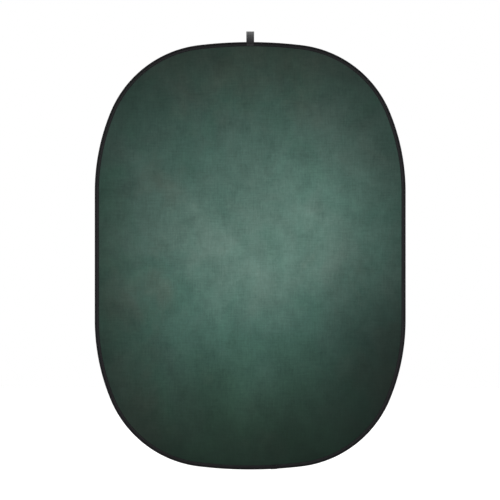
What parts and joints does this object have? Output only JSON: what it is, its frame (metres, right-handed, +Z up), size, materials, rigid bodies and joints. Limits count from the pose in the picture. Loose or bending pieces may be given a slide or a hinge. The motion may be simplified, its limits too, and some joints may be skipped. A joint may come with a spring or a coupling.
{
  "type": "collapsible backdrop panel",
  "caption": "Tall oval fabric backdrop panel on a hidden spring-steel hoop, with a webbing hanging loop at the top; folds in half face inward.",
  "frame": {"origin": "centre of the hanging loop's eye, where the stud or hook carries the panel", "axes": "+Z up, -Y the way the printed face looks, +X to the right seen from the front, along the eye"},
  "size_m": [1.52, 0.0202, 2.1423],
  "materials": {
    "webbing": "close-woven black nylon webbing, matte",
    "thread": "black bonded thread",
    "printed_cloth": "painted muslin look, mottled grey-green, darker towards the rim, matte",
    "back_cloth": "plain mottled grey cloth, matte",
    "binding_tape": "black ribbed binding tape, matte",
    "spring_steel": "blued flat spring steel, oiled",
    "sleeve_steel": "formed steel sleeve and flush rivets",
    "shrink_wrap": "black heat-shrink tube"
  },
  "bodies": {
    "loop": {"hanging_loop": "webbing", "loop_box_stitch": "thread"},
    "upper_half": {"strap_saddle": "webbing", "saddle_stitch": "thread", "front_cloth_upper": "printed_cloth", "back_cloth_upper": "back_cloth", "spring_band_upper": "spring_steel", "binding_upper": "binding_tape", "channel_seam_upper": "thread", "edge_seam_upper": "thread"},
    "lower_half": {"front_cloth_lower": "printed_cloth", "back_cloth_lower": "back_cloth", "spring_band_lower": "spring_steel", "binding_lower": "binding_tape", "channel_seam_lower": "thread", "edge_seam_lower": "thread", "splice_sleeve": "sleeve_steel", "splice_rivets": "sleeve_steel", "splice_wrap": "shrink_wrap", "binding_lap": "binding_tape", "lap_bartacks": "thread"}
  },
  "joints": [
    {"name": "strap_swing", "type": "hinge", "parent": "loop", "child": "upper_half", "pos_m": [0, 0, -0.03044], "axis": [1, 0, 0], "range_deg": [-90, 90]},
    {"name": "half_fold", "type": "hinge", "parent": "upper_half", "child": "lower_half", "pos_m": [0, -0.0061, -1.08719], "axis": [-1, 0, 0], "range_deg": [0, 178], "stiffness_Nm_per_rad": 4}
  ]
}
